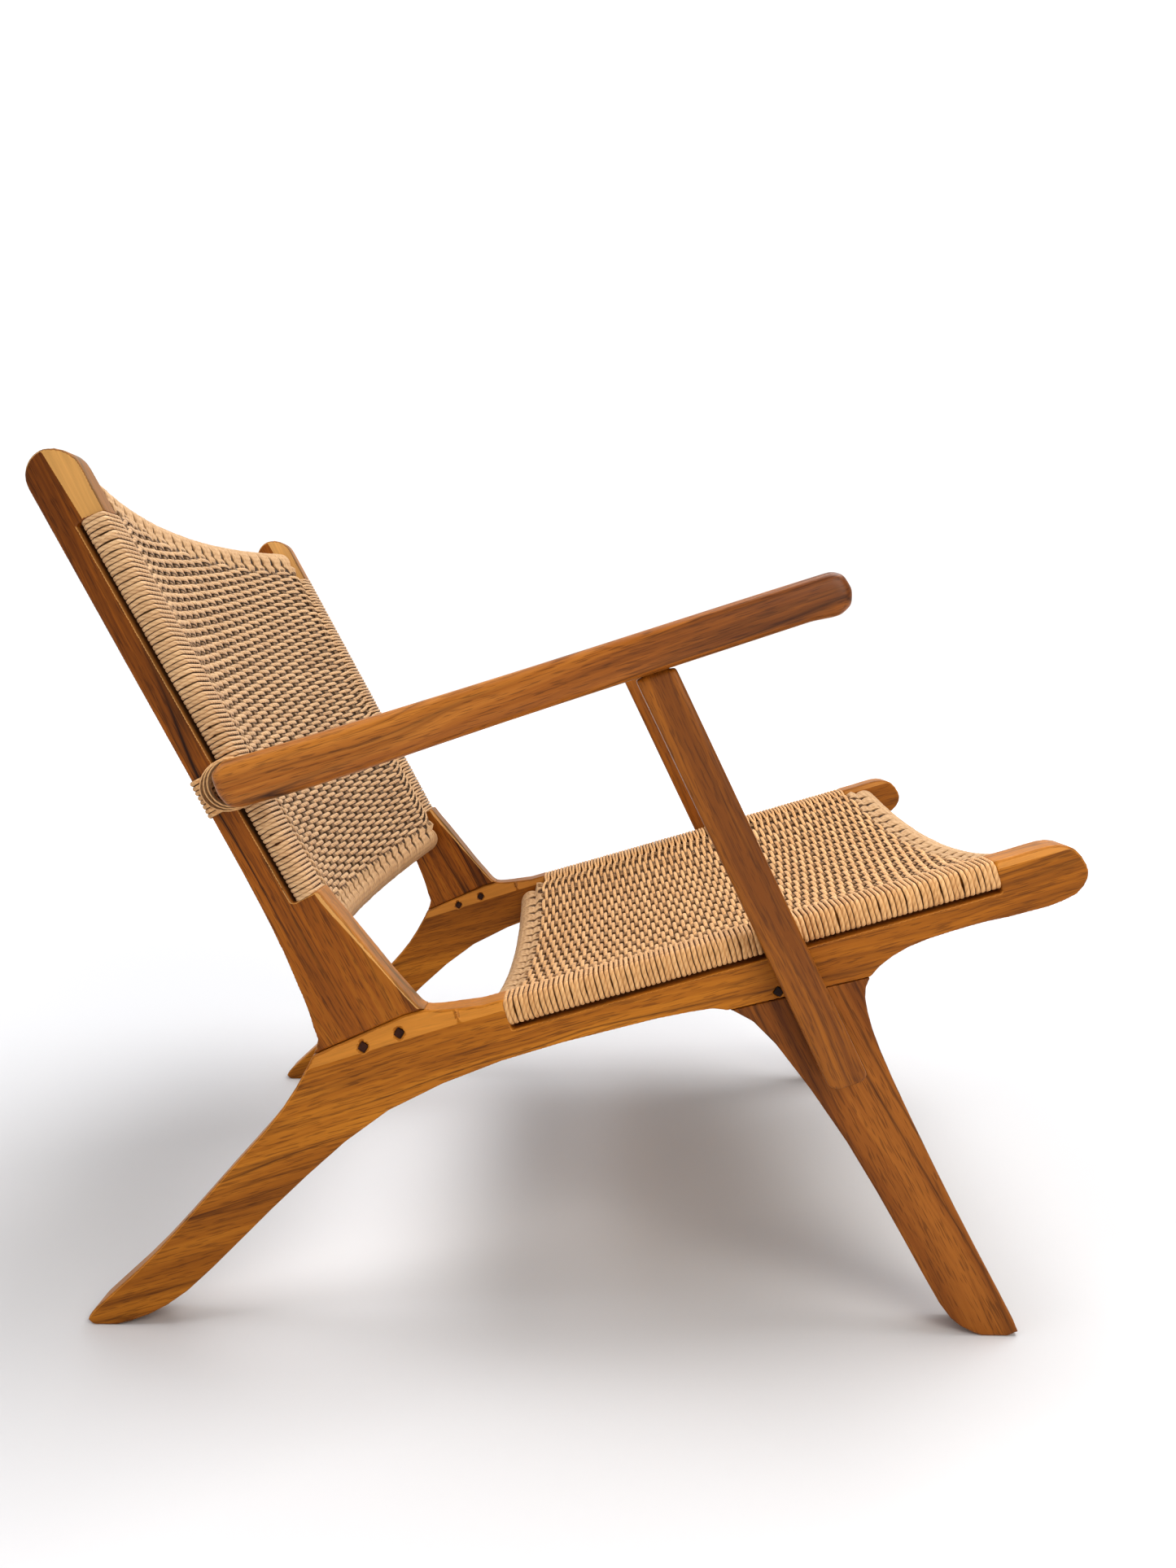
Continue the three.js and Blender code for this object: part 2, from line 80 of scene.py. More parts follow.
BOW = 28.0                            # how far a cross rail's middle curves away from the sitter

CORD_R = 2.02
GROUP = 29.3                          # spacing of the pairs of warp cords
GROUPS = (np.arange(19) - 9) * GROUP
RIGHT_GROUPS = 10                     # this many are meshed with the right half
WARP_PLACES = (-3.3, -2.3, -1.4, -0.5, 0.5, 1.4, 2.3, 3.3)   # in a group; the middle two weave
WARP_STEP = 4.2
TURNS_EACH_WAY = 3                    # turns on a cross rail on each side of a group's middle one
STRAIGHT = 14.0                       # the rows run free beside each bar before the first warps
PAST_SLOT = 2.6                       # the end rows bulge this far past their slot
FIRST_ROW = RAIL_R + 2.0              # from a cross rail's centre line to the nearest row
ROW_STEP = 2.95                       # between the points of a row
WEAVE_LIFT = 2.1                      # how far a row rises and dips at the warps
PAIR_PINCH = 1.25                     # how far neighbouring rows lean together beside the bars


def plane_through(origin, along_dir, off_dir):
    """A function from x, a distance along a side member and a distance off it, to points."""
    def place(x, along, off):
        x, along, off = np.broadcast_arrays(np.asarray(x, float), along, off)
        yz = origin + along[..., None] * along_dir + off[..., None] * off_dir
        return np.concatenate([x[..., None], yz], axis=-1)
    return place


on_seat = plane_through(SEAT0, SEAT_ALONG, SEAT_UP)
on_back = plane_through(BACK0, BACK_ALONG, BACK_FRONT)


def direction(plane, along, off):
    d = plane(0.0, along, off) - plane(0.0, 0.0, 0.0)
    return d / np.linalg.norm(d)


def settle_in(distance, width):
    """0 to 1 smoothly over width."""
    t = np.clip(distance / width, 0, 1)
    return t * t * (3 - 2 * t)


# ---------------------------------------------------------------- cord meshes
# degrees round a cord's section, by its number of sides; 90 is the cord's outward side
SECTIONS = {6: (-90, -35, 35, 90, 145, 215),
            8: (-90, -20, 15, 48, 90, 132, 165, 200),
            9: (-90, -30, 4, 38, 72, 108, 142, 176, 210)}


def resample(points, step):
    seg = np.linalg.norm(np.diff(points, axis=0), axis=1)
    s = np.concatenate([[0], np.cumsum(seg)])
    count = max(int(round(s[-1] / step)), 2)
    t = np.linspace(0, s[-1], count + 1)
    return np.stack([np.interp(t, s, points[:, i]) for i in range(3)], axis=1)


def side_and_normal(points, normal, closed):
    """Unit vectors across a cord at each of its points: sideways, and nearest to normal."""
    if closed:
        tangent = np.roll(points, -1, axis=0) - np.roll(points, 1, axis=0)
    else:
        tangent = np.gradient(points, axis=0)
    tangent /= np.linalg.norm(tangent, axis=1, keepdims=True)
    normal = np.broadcast_to(np.asarray(normal, float), points.shape).copy()
    normal -= tangent * np.sum(tangent * normal, axis=1, keepdims=True)
    normal /= np.linalg.norm(normal, axis=1, keepdims=True)
    return np.cross(tangent, normal), normal


def column(value, count):
    """A number, or one for each point, as a column."""
    return np.broadcast_to(value, (count,))[:, None]


def sweep(points, normal, across, along, closed, shade, angle):
    """One round cord's vertices, quads, and the values of "strand" and "shade" at each vertex."""
    points = np.asarray(points, float)
    n, sides = len(points), len(angle)
    side, normal = side_and_normal(points, normal, closed)
    ring = (points[:, None, :]
            + side[:, None, :] * column(across, n)[..., None] * np.cos(angle)[None, :, None]
            + normal[:, None, :] * column(along, n)[..., None] * np.sin(angle)[None, :, None])

    steps = np.linalg.norm(np.diff(points, axis=0), axis=1)
    distance = np.concatenate([[0], np.cumsum(steps)])
    strand = np.stack([np.repeat(distance * MM, sides), np.tile(np.arange(sides) / sides, n),
                       np.full(n * sides, rng.random())], axis=1)

    top, under = shade if isinstance(shade, tuple) else (shade, shade)
    shade = np.where(np.sin(angle)[None, :] > 0, column(top, n), column(under, n))
    # painted shade: a cord is painted darker towards its sides, where its neighbours press on it, on
    # top of its own "shade"
    openness = np.clip((np.abs(np.sin(angle)) + 0.02) / 0.7, 0, 1)
    shade = np.clip(1 - openness[None, :] * (1 - shade), 0, 1)

    here = np.arange(n if closed else n - 1)[:, None]
    ahead = (here + 1) % n
    corner = np.arange(sides)
    beside = (corner + 1) % sides
    quads = np.stack([here * sides + corner, here * sides + beside,
                      ahead * sides + beside, ahead * sides + corner], axis=-1)
    return ring.reshape(-1, 3), quads.reshape(-1, 4), strand, shade.ravel()


def tube_mesh(name, strands, material, sides=8):
    """One mesh of round cords. A strand is (points, reference normals, radii across and along the
    normal, closed, shade): shade is how far a point lies in the shadow of its neighbours, 0 to 1,
    or a pair of those, for the cord's upper side and its lower, and it is painted into the cord's
    colour as painted shade. Below 0 its sides take less painted shade than usual.
    Each vertex keeps where it is on its cord in "strand", and how dark it is in "shade"."""
    angle = np.radians(SECTIONS[sides])
    verts, quads, places, shades = zip(*(sweep(*strand, angle) for strand in strands))
    starts = np.cumsum([0] + [len(v) for v in verts[:-1]])
    faces = np.concatenate([quad + start for quad, start in zip(quads, starts)])
    verts = np.concatenate(verts) * MM
    verts[:, 1] += SHIFT_Y * MM

    mesh = bpy.data.meshes.new(name)
    mesh.vertices.add(len(verts))
    mesh.vertices.foreach_set("co", verts.astype(np.float32).ravel())
    mesh.loops.add(faces.size)
    mesh.loops.foreach_set("vertex_index", faces.astype(np.int32).ravel())
    mesh.polygons.add(len(faces))
    mesh.polygons.foreach_set("loop_start", np.arange(0, faces.size, 4, dtype=np.int32))
    mesh.polygons.foreach_set("use_smooth", np.ones(len(faces), bool))
    mesh.update(calc_edges=True)
    mesh.validate()
    where = mesh.attributes.new("strand", "FLOAT_VECTOR", "POINT")
    where.data.foreach_set("vector", np.concatenate(places).astype(np.float32).ravel())
    dark = mesh.attributes.new("shade", "FLOAT", "POINT")
    dark.data.foreach_set("value", np.concatenate(shades).astype(np.float32))
    mesh.materials.append(material)
    obj = bpy.data.objects.new(name, mesh)
    scene.collection.objects.link(obj)
    return obj


# ---------------------------------------------------------------- materials
def nodes_of(name):
    mat = bpy.data.materials.new(name)
    mat.use_nodes = True
    tree = mat.node_tree
    tree.nodes.clear()
    out = tree.nodes.new("ShaderNodeOutputMaterial")
    shader = tree.nodes.new("ShaderNodeBsdfPrincipled")
    tree.links.new(shader.outputs[0], out.inputs[0])
    return mat, tree, shader


class Build:
    """Short-hand for joining shader nodes."""

    def __init__(self, tree):
        self.tree = tree

    def add(self, kind, inputs=(), **props):
        node = self.tree.nodes.new(kind)
        for key, value in props.items():
            setattr(node, key, value)
        for key, value in dict(inputs).items():
            if isinstance(value, bpy.types.NodeSocket):
                self.tree.links.new(value, node.inputs[key])
            else:
                node.inputs[key].default_value = value
        return node

    def attribute(self, name, output):
        return self.add("ShaderNodeAttribute", attribute_name=name).outputs[output]

    def coordinates(self, kind):
        return self.add("ShaderNodeTexCoord").outputs[kind]

    def split(self, vector):
        return self.add("ShaderNodeSeparateXYZ", {0: vector}).outputs

    def join(self, x, y, z):
        return self.add("ShaderNodeCombineXYZ", {0: x, 1: y, 2: z}).outputs[0]

    def math(self, op, a, b=0.0):
        return self.add("ShaderNodeMath", {0: a, 1: b}, operation=op).outputs[0]

    def plus(self, a, b):
        return self.math("ADD", a, b)

    def times(self, a, b):
        return self.math("MULTIPLY", a, b)

    def scaled(self, vector, scale):
        return self.add("ShaderNodeVectorMath", {0: vector, 1: scale}, operation="MULTIPLY").outputs[0]

    def noise(self, vector, detail=2.0, rough=0.5):
        return self.add("ShaderNodeTexNoise", {"Vector": vector, "Scale": 1.0, "Detail": detail,
                                               "Roughness": rough}).outputs[0]

    def ramp(self, value, stops):
        """Colours at places from 0 to 1; a number stands for a grey."""
        node = self.add("ShaderNodeValToRGB", {0: value})
        ramp = node.color_ramp
        while len(ramp.elements) < len(stops):
            ramp.elements.new(0.5)
        for element, (at, colour) in zip(ramp.elements, stops):
            element.position = at
            element.color = (*(colour if isinstance(colour, tuple) else (colour,) * 3), 1.0)
        return node.outputs[0]

    def mix(self, factor, a, b, blend="MIX"):
        node = self.tree.nodes.new("ShaderNodeMix")
        node.data_type = "RGBA"
        node.blend_type = blend
        for socket, value in ((node.inputs[0], factor), (node.inputs[6], a), (node.inputs[7], b)):
            if isinstance(value, bpy.types.NodeSocket):
                self.tree.links.new(value, socket)
            else:
                socket.default_value = value if isinstance(value, float) else (*value, 1.0)
        return node.outputs[2]

    def bump(self, height, strength, distance):
        return self.add("ShaderNodeBump", {"Height": height, "Strength": strength,
                                           "Distance": distance}).outputs[0]


def linear(r, g, b):
    """sRGB 0-255 to linear."""
    return tuple(((c / 255 + 0.055) / 1.055) ** 2.4 if c > 10 else c / 255 / 12.92 for c in (r, g, b))


def add_veins(b, layers, colour, vein, amount):
    """Thin dark veins along the growth layers, coming and going: broad ones, then narrow ones."""
    for scale, width, depth in (((1.5, 46.0, 16.0), 0.016, 0.85), ((2.6, 120.0, 40.0), 0.022, 0.5)):
        level = b.noise(b.scaled(layers, scale), 1.0)
        away = b.math("ABSOLUTE", b.math("SUBTRACT", level, 0.5))
        line = b.ramp(away, [(0.0, 1.0), (width, 0.35), (width * 2.4, 0.0)])
        strength = b.ramp(b.noise(b.scaled(layers, (3.0, 20.0, 9.0)), 1.0), [(0.38, 0.1), (0.62, 1.0)])
        mask = b.times(b.times(line, strength), depth * amount)
        colour = b.mix(mask, colour, vein)
    return colour


def paint_facet_highlight(b, tone, colour, facet_highlight, facet):
    """Painted highlight: facets that stand facet degrees off a broad face, and edges, are painted
    paler where they face upward.
    """
    facing = b.split(b.coordinates("Normal"))
    broad_face = b.math("ABSOLUTE", facing[0])
    at = math.cos(math.radians(facet))
    slack = 0.012 if facet < 20 else 0.03
    highlit = b.ramp(broad_face, [(0.0, 0.25), (at - slack - 0.02, 0.25), (at - slack, 1.0),
                                 (at + slack, 1.0), (at + slack + 0.015, 0.0)])
    upward = b.ramp(facing[2], [(0.03, 0.0), (0.14, 0.62)])
    highlit = b.times(highlit, upward)
    colour = b.mix(highlit, colour, facet_highlight)
    grain_back = b.ramp(tone, [(0.45, (0.6, 0.55, 0.46)), (0.64, 1.0)])
    return b.mix(b.times(highlit, 0.8), colour, b.mix(1.0, colour, grain_back, "MULTIPLY"))


def teak(name, dark, mid, light, vein, veins=1.0, facet_highlight=None, facet=18, small=False, lacquer=0.04):
    """Oiled teak. The attribute "grain" is (along the grain, across it, through it), in metres.
    Small turned pieces are end grain, and take their grain from their own coordinates."""
    mat, tree, shader = nodes_of(name)
    b = Build(tree)
    if small:
        grain = b.scaled(b.coordinates("Object"), (0.3, 1.0, 1.0))
    else:
        grain = b.attribute("grain", "Vector")
    along, across, through = b.split(grain)
    # the growth layers wander slowly from side to side along the plank
    wander = b.noise(b.scaled(grain, (2.6, 7.0, 7.0)))
    across = b.plus(b.plus(across, b.times(through, 0.4)), b.times(wander, 0.055))
    layers = b.join(along, across, through)
    broad = b.noise(b.scaled(layers, (2.0, 38.0, 14.0)), 3.0, 0.55)
    plank = b.noise(b.scaled(layers, (1.1, 5.0, 5.0)), 1.0)
    fine = b.noise(b.scaled(layers, (9.0, 330.0, 200.0)), 3.0, 0.62)
    pores = b.noise(b.scaled(grain, (55.0, 900.0, 900.0)), 1.0)
    tone = b.plus(b.plus(b.times(broad, 0.50), b.times(plank, 0.42)), b.times(fine, 0.26))
    colour = b.ramp(tone, [(0.47, dark), (0.59, mid), (0.72, light)])
    colour = add_veins(b, layers, colour, vein, veins)
    flecks = b.ramp(pores, [(0.0, 1.0), (0.36, 1.0), (0.44, 0.0)])
    colour = b.mix(b.times(flecks, 0.42), colour, vein)
    # painted highlight: pale upward facets and edges on the frame pieces
    if facet_highlight:
        colour = paint_facet_highlight(b, tone, colour, facet_highlight, facet)
    tree.links.new(colour, shader.inputs["Base Color"])
    tree.links.new(b.plus(0.36, b.times(fine, 0.2)), shader.inputs["Roughness"])
    tree.links.new(b.bump(b.plus(fine, b.times(pores, 0.6)), 0.16, 0.0005), shader.inputs["Normal"])
    shader.inputs["Specular IOR Level"].default_value = 0.22
    shader.inputs["Coat Weight"].default_value = lacquer
    shader.inputs["Coat Roughness"].default_value = 0.32
    return mat


def cord_material(name, pale, mid, dark, gap, shadow, edge=0.12):
    """Twisted paper cord. "strand" is (along the cord in metres, turn round it, a number per cord).
    gap is the colour in the shade, which sets in at edge and has reached shadow halfway on."""
    mat, tree, shader = nodes_of(name)
    b = Build(tree)
    along, turn, tag = b.split(b.attribute("strand", "Vector"))
    # three plies wound round each other: their grooves wind down the cord
    twist_length = 0.016
    ply = b.plus(b.times(along, 2 * math.pi / twist_length), b.times(turn, 2 * math.pi))
    ply = b.math("ABSOLUTE", b.math("SINE", b.times(ply, 1.5)))
    fibre = b.noise(b.join(b.times(along, 110.0), b.times(turn, 9.0), b.times(tag, 37.0)), 3.0, 0.6)
    patch = b.noise(b.join(b.times(along, 14.0), b.times(tag, 91.0), 0.0), 1.0)
    tone = b.plus(b.plus(b.times(fibre, 0.45), b.times(patch, 0.40)), b.times(ply, 0.18))
    colour = b.ramp(tone, [(0.34, dark), (0.55, mid), (0.78, pale)])
    # painted shade: cords are painted towards gap where "shade" says they lie in their neighbours'
    # shadow
    shade = b.attribute("shade", "Fac")
    hidden = b.ramp(shade, [(edge, 0.0), (0.5 + edge / 2, shadow), (1.0, 1.0)])
    colour = b.mix(hidden, colour, gap)
    # painted shadow: near black where a cord is wholly in shade
    colour = b.mix(b.ramp(shade, [(0.9, 0.0), (1.0, 1.0)]), colour, linear(22, 13, 7))
    tree.links.new(colour, shader.inputs["Base Color"])
    shader.inputs["Roughness"].default_value = 0.62
    shader.inputs["Specular IOR Level"].default_value = 0.32
    shader.inputs["Sheen Weight"].default_value = 0.08
    height = b.plus(b.times(ply, 0.8), b.times(fibre, 0.5))
    tree.links.new(b.bump(height, 0.5, 0.0007), shader.inputs["Normal"])
    return mat


def steel():
    mat, tree, shader = nodes_of("screw_steel")
    b = Build(tree)
    brushed = b.noise(b.scaled(b.coordinates("Object"), (900.0, 2500.0, 2500.0)), 2.0, 0.6)
    shader.inputs["Metallic"].default_value = 1.0
    colour = b.ramp(brushed, [(0.3, linear(120, 122, 126)), (0.7, linear(176, 178, 182))])
    tree.links.new(colour, shader.inputs["Base Color"])
    tree.links.new(b.plus(0.25, b.times(brushed, 0.2)), shader.inputs["Roughness"])
    return mat


# the facet_highlight colours are painted highlights for upward facets and edges
TEAK = teak("teak", linear(112, 58, 12), linear(152, 88, 22), linear(184, 116, 38),
            linear(54, 24, 4), facet_highlight=linear(214, 148, 68))
POST_TEAK = teak("post_teak", linear(101, 53, 8), linear(150, 86, 18), linear(176, 112, 30),
                 linear(44, 19, 2), veins=1.5, facet_highlight=linear(238, 186, 112), facet=22)
RAIL_TEAK = teak("rail_teak", linear(126, 72, 10), linear(162, 98, 20), linear(192, 124, 34),
                 linear(66, 30, 3), veins=0.9, facet_highlight=linear(220, 152, 70))
LEG_TEAK = teak("leg_teak", linear(96, 50, 12), linear(136, 78, 22), linear(166, 102, 36),
                linear(50, 22, 4))
STRUT_TEAK = teak("strut_teak", linear(123, 69, 13), linear(156, 94, 23), linear(182, 117, 38),
                  linear(64, 30, 6), veins=0.45, lacquer=0.2)
ARM_TEAK = teak("arm_teak", linear(110, 59, 13), linear(154, 91, 26), linear(188, 122, 48),
                linear(50, 22, 4), veins=1.2, lacquer=0.22)
SPACER_WOOD = teak("spacer_wood", linear(112, 58, 15), linear(152, 88, 27), linear(184, 116, 44),
                   linear(54, 24, 5), small=True)
PEG_WOOD = teak("peg_wood", linear(34, 16, 9), linear(56, 28, 16), linear(78, 42, 26),
                linear(18, 8, 4), small=True)
STEEL = steel()
STRAW = cord_material("straw_cord", linear(232, 188, 136), linear(216, 168, 114),
                      linear(186, 136, 84), linear(66, 38, 14), 0.8)
SMOOTH = cord_material("rail_cord", linear(210, 176, 134), linear(196, 158, 116),
                       linear(176, 138, 98), linear(70, 44, 22), 0.85, edge=0.5)
# FIELD is the straw cord painted darker and greyer, as painted shade on the back panel
FIELD = cord_material("field_cord", linear(220, 184, 140), linear(200, 162, 120),
                      linear(168, 130, 92), linear(52, 32, 16), 0.8)


# ---------------------------------------------------------------- wood and fixings
def grain_attribute(mesh, origin, along, offset):
    """Writes each vertex's place in its plank's own directions."""
    co = np.zeros(len(mesh.vertices) * 3, np.float32)
    mesh.vertices.foreach_get("co", co)
    co = co.reshape(-1, 3) - np.asarray(origin, np.float32)
    along = np.asarray(along, float) / np.linalg.norm(along)
    runs_across_chair = abs(along[0]) > 0.9
    lateral = np.array([0.0, 0.0, 1.0] if runs_across_chair else [1.0, 0.0, 0.0])
    across = np.cross(lateral, along)
    across /= np.linalg.norm(across)
    through = np.cross(along, across)
    grain = np.stack([co @ along + offset, co @ across + offset * 0.37, co @ through], axis=1)
    at = mesh.attributes.get("grain") or mesh.attributes.new("grain", "FLOAT_VECTOR", "POINT")
    at.data.foreach_set("vector", grain.astype(np.float32).ravel())


def settle(obj):
    """Applies the object's modifiers."""
    graph = bpy.context.evaluated_depsgraph_get()
    done = bpy.data.meshes.new_from_object(obj.evaluated_get(graph))
    obj.modifiers.clear()
    old = obj.data
    obj.data = done
    bpy.data.meshes.remove(old)


def carved(node, along, voxel=1.3, soft=1.0, offset=0.0, material=TEAK):
    """A softened copy of a CAD piece: its edges rounded over about soft mm, as sanding leaves them.
    along is the grain's direction, and offset tells one plank's grain from another's."""
    mesh = NODES[node].data.copy()
    mesh.name = f"{node}_carved"
    mesh.materials.clear()
    obj = bpy.data.objects.new(f"{node}_carved", mesh)
    scene.collection.objects.link(obj)
    remesh = obj.modifiers.new("remesh", "REMESH")
    remesh.mode = "VOXEL"
    remesh.voxel_size = voxel * MM
    ease = obj.modifiers.new("ease", "SMOOTH")
    ease.factor = 0.5
    ease.iterations = max(2, round(4 * (soft / voxel) ** 2))
    thin = obj.modifiers.new("thin", "DECIMATE")
    thin.ratio = 0.35
    settle(obj)
    low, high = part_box(node)
    grain_attribute(obj.data, (low + high) / 2, along, offset)
    obj.data.polygons.foreach_set("use_smooth", np.ones(len(obj.data.polygons), bool))
    obj.data.materials.append(material)
    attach(obj, "root")
    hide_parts(node)


def coat(word, material):
    """Gives a material to the CAD pieces with the word in their names, which stay as they are."""
    for node, obj in NODES.items():
        if word in node:
            obj.data.materials.clear()
            obj.data.materials.append(material)


rail_dir = (0, *SEAT_ALONG)
post_dir = (0, *BACK_ALONG)
leg_dir = (0, 0.47, 0.88)
arm_dir = (0, -0.952, 0.306)
strut_dir = (0, 0.434, 0.901)
for side, k in (("right", 0.0), ("left", 3.7)):
    carved(f"side_rail_{side}", rail_dir, offset=k, material=RAIL_TEAK)
    carved(f"front_leg_{side}", leg_dir, offset=k + 1.3, material=LEG_TEAK)
    carved(f"back_post_{side}", post_dir, offset=k + 2.1, material=POST_TEAK)
    carved(f"arm_{side}", arm_dir, soft=4.5, offset=k + 0.6, material=ARM_TEAK)
    carved(f"arm_strut_{side}", strut_dir, soft=3.0, offset=k + 2.9, material=STRUT_TEAK)
for i, node in enumerate(("seat_front_rail", "seat_rear_rail", "back_top_rail", "back_bottom_rail")):
    carved(node, (1, 0, 0), voxel=1.6, soft=2.0, offset=5.0 + i)
coat("peg", PEG_WOOD)
coat("spacer", SPACER_WOOD)
coat("screw", STEEL)


# ---------------------------------------------------------------- woven panels
def adopt(obj, slot_name, *replaced):
    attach(obj, "root")
    if replaced:
        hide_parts(*replaced)


def slot_depth(w):
    """From the back post's rear edge to its slot, which tapers upwards."""
    low, high = 23.5, 19.5
    return low + (high - low) * (w - BACK_SLOT_LOW) / (BACK_SLOT_HIGH - BACK_SLOT_LOW)


def parabola(x):
    return 1 - (np.asarray(x, float) / INNER) ** 2


class Panel:
    """A woven panel: its plane, the slotted bars at its sides, and its two cross rails."""

    def __init__(self, plane, start, end, bar_low, bar_high, low_rail, high_rail, belly):
        self.plane = plane
        self.start, self.end = start, end        # of the slots, along the side members
        self.bar_low, self.bar_high = bar_low, bar_high
        self.low_rail, self.high_rail = low_rail, high_rail  # (along, off) of each rail's ends
        self.belly = belly                       # how much fuller than a parabola the sag is
        self.up = direction(plane, 0.0, 1.0)
        self.along = direction(plane, 1.0, 0.0)

    def surface(self, x, u):
        """Height of the panel's middle layer off the side members' base line."""
        u = np.asarray(u, float)
        (u0, n0), (u1, n1) = self.low_rail, self.high_rail
        t = np.clip((u - u0) / (u1 - u0), 0, 1)
        centre = (n0 - BOW) * (1 - t) + (n1 - BOW) * t + RAIL_R + 1.6
        out = 1 - parabola(x)
        edge = self.bar_high(u) + 0.6
        fuller = self.belly * 4 * out * (1 - out) * np.sin(np.pi * t)
        return centre + BOW * out + (edge - centre - BOW) * out ** 3 - fuller


def bar_route(low, high):
    """(lateral, off) of a cord out of the slot, up the bar's outer face and over the bar."""
    r = CORD_R
    face = HALF - 1.8
    return np.array([
        (INNER + 3, low - r + 0.4), (face - 3, low - r + 0.2), (face - 0.6, low - r + 1.0),
        (face + 0.9, low + 1.2), (face + 1.3, low + 5), (face + 1.3, (low + high) / 2),
        (face + 0.9, high - 4), (face - 0.2, high - 1.2), (face - 2.4, high + r - 0.9),
        (face - 6, high + r - 0.3), (INNER + 14, high + r - 0.3), (INNER + 7, high + r - 0.3),
        (INNER + 2, high + r - 0.9)])


# at each point of a bar's route: how far a cord leans, how far it is out of the slot, its width
ROUTE_LEAN = np.array([0, 0, 0, 0.1, 0.5, 1.0, 0.8, 0.4, 0.2, 0, 0, 0, 0])
ROUTE_OUT = np.clip(np.arange(len(ROUTE_LEAN)) / 4, 0, 1)
ROUTE_WIDTH = np.where(np.arange(len(ROUTE_LEAN)) < 9, 1.0, 0.86)


def returns_under(panel, at_bar):
    """A cord's return under each bar, below the free part of the row; its upper side is painted fully
    in shade, as a painted shadow under the row.
    """
    for sign in (-1, 1):
        xs = np.linspace(INNER - 0.5, INNER - 30, 7)
        depth = np.array([9.0, 6.5, 5.2, 4.6, 4.4, 4.4, 4.4])
        below = panel.plane(sign * xs, np.full(7, at_bar), panel.surface(xs, at_bar) - depth)
        yield below, panel.up, CORD_R * 1.08, CORD_R * 0.7, False, (1.0, 0.0)


def row_of_weft(panel, j, count):
    """Row j: out of one slot, over the bar, across the warp and over the other bar."""
    t = (j + 0.5) / count
    slot_span = panel.end - panel.start + 2 * PAST_SLOT
    # the end cords bulge a little past the slot that they come out of
    over_bar = panel.start - PAST_SLOT + t * slot_span
    at_bar = float(np.clip(over_bar, panel.start, panel.end))
    u_low, u_high = panel.low_rail[0] + FIRST_ROW, panel.high_rail[0] - FIRST_ROW
    in_field = u_low + t * (u_high - u_low)

    xs = np.arange(-INNER + 4, INNER - 3.9, ROW_STEP)
    inward = INNER - np.abs(xs)
    fade = settle_in(inward - STRAIGHT + 8, 12.0)
    wave = np.cos(np.pi * ((xs - GROUPS[0]) / GROUP + j))
    lift = WEAVE_LIFT * np.sign(wave) * np.abs(wave) ** 0.75 * fade
    u = over_bar + (in_field - over_bar) * settle_in(inward - 4, 26.0)
    sway = rng.normal(0, 0.2) + 0.3 * np.sin(xs / 90 + rng.random() * 6)
    sink = -1.2 * (1 - fade) * settle_in(inward, 12.0)
    heights = panel.surface(xs, u) + lift + sink + rng.normal(0, 0.1, len(xs))
    pinch = PAIR_PINCH * (-1) ** j * np.sin(np.pi * np.clip((inward - 3) / 23.0, 0, 1))
    field = panel.plane(xs, u + sway * fade + pinch, heights)

    low, high = panel.bar_low(at_bar), panel.bar_high(at_bar)
    route = bar_route(low, high)
    halves = []
    for sign in (-1, 1):
        ends = route + rng.normal(0, 0.1, route.shape)
        along = (at_bar + (over_bar - at_bar) * ROUTE_OUT + ROUTE_LEAN * rng.normal(0, 0.42)
                 + rng.normal(0, 0.12))
        halves.append(panel.plane(sign * ends[:, 0], along, ends[:, 1]))
    path = np.concatenate([halves[0], field, halves[1][::-1]])

    # a cord's outward side faces away from the bar's middle, and up between the bars
    on_bar = np.where(np.abs(path[:, :1]) > INNER + 1, 1.0, 0.0)
    bar_middle = panel.plane(0.0, at_bar, (low + high) / 2) + np.stack(
        [np.sign(path[:, 0]) * (INNER + THICK / 2), np.zeros(len(path)), np.zeros(len(path))], axis=1)
    normal = on_bar * (path - bar_middle) + (1 - on_bar) * panel.up

    body = slice(len(route), len(route) + len(field))
    free = (1 - fade) * settle_in(inward - 2, 10.0)
    swell = 0.5 + 0.5 * wave
    across = np.full(len(path), slot_span / count / 2 * 0.98)
    across[:len(route)] *= ROUTE_WIDTH
    across[body] = CORD_R * (1 - 0.24 * free) * (1 + fade * (0.26 * swell - 0.04))
    across[len(route) + len(field):] *= ROUTE_WIDTH[::-1]
    # painted shade: over the bars a cord's sides take less painted shade; in the field each side is
    # painted darker where it dives under a warp pair
    shade = np.full(len(path), -0.35)
    under = shade.copy()
    shade[body] = fade * np.clip(-wave * 1.5, 0, 1) * 0.7
    under[body] = fade * np.clip(wave * 1.5, 0, 1) * 0.7
    yield path, normal, across, CORD_R * 0.94, False, (shade, under)
    yield from returns_under(panel, at_bar)


def weft(panel, count, name, rows, material):
    strands = [strand for j in rows for strand in row_of_weft(panel, j, count)]
    return tube_mesh(name, strands, material, sides=9)


def warp(panel, rows, groups, name, material):
    """Groups of cords from one cross rail to the other, over and under the rows."""
    strands = []
    first, last = panel.low_rail[0] + FIRST_ROW, panel.high_rail[0] - FIRST_ROW
    for g, x0 in groups:
        for place in WARP_PLACES:
            x = x0 + WARP_STEP * place + rng.normal(0, 0.1)
            if abs(x) > INNER - 13:
                continue
            weaves = abs(place) < 1
            us = np.linspace(first - 5, last + 5, (3 if weaves else 1) * rows + 1)
            row = (us - first) / (last - first) * rows - 0.5
            dip = -1.6 * np.cos(np.pi * (row + g)) - 0.3 if weaves else -0.9
            path = panel.plane(x + 0 * us, us, panel.surface(x, us) + dip)
            # painted shade: the weaving pair is painted somewhat dark, and the flat cords beside it,
            # under the rows, darker still
            strands.append((path, panel.up, CORD_R * 1.02, CORD_R * (0.85 if weaves else 0.6), False,
                            0.38 if weaves else 0.8))
    return tube_mesh(name, strands, material, sides=6)


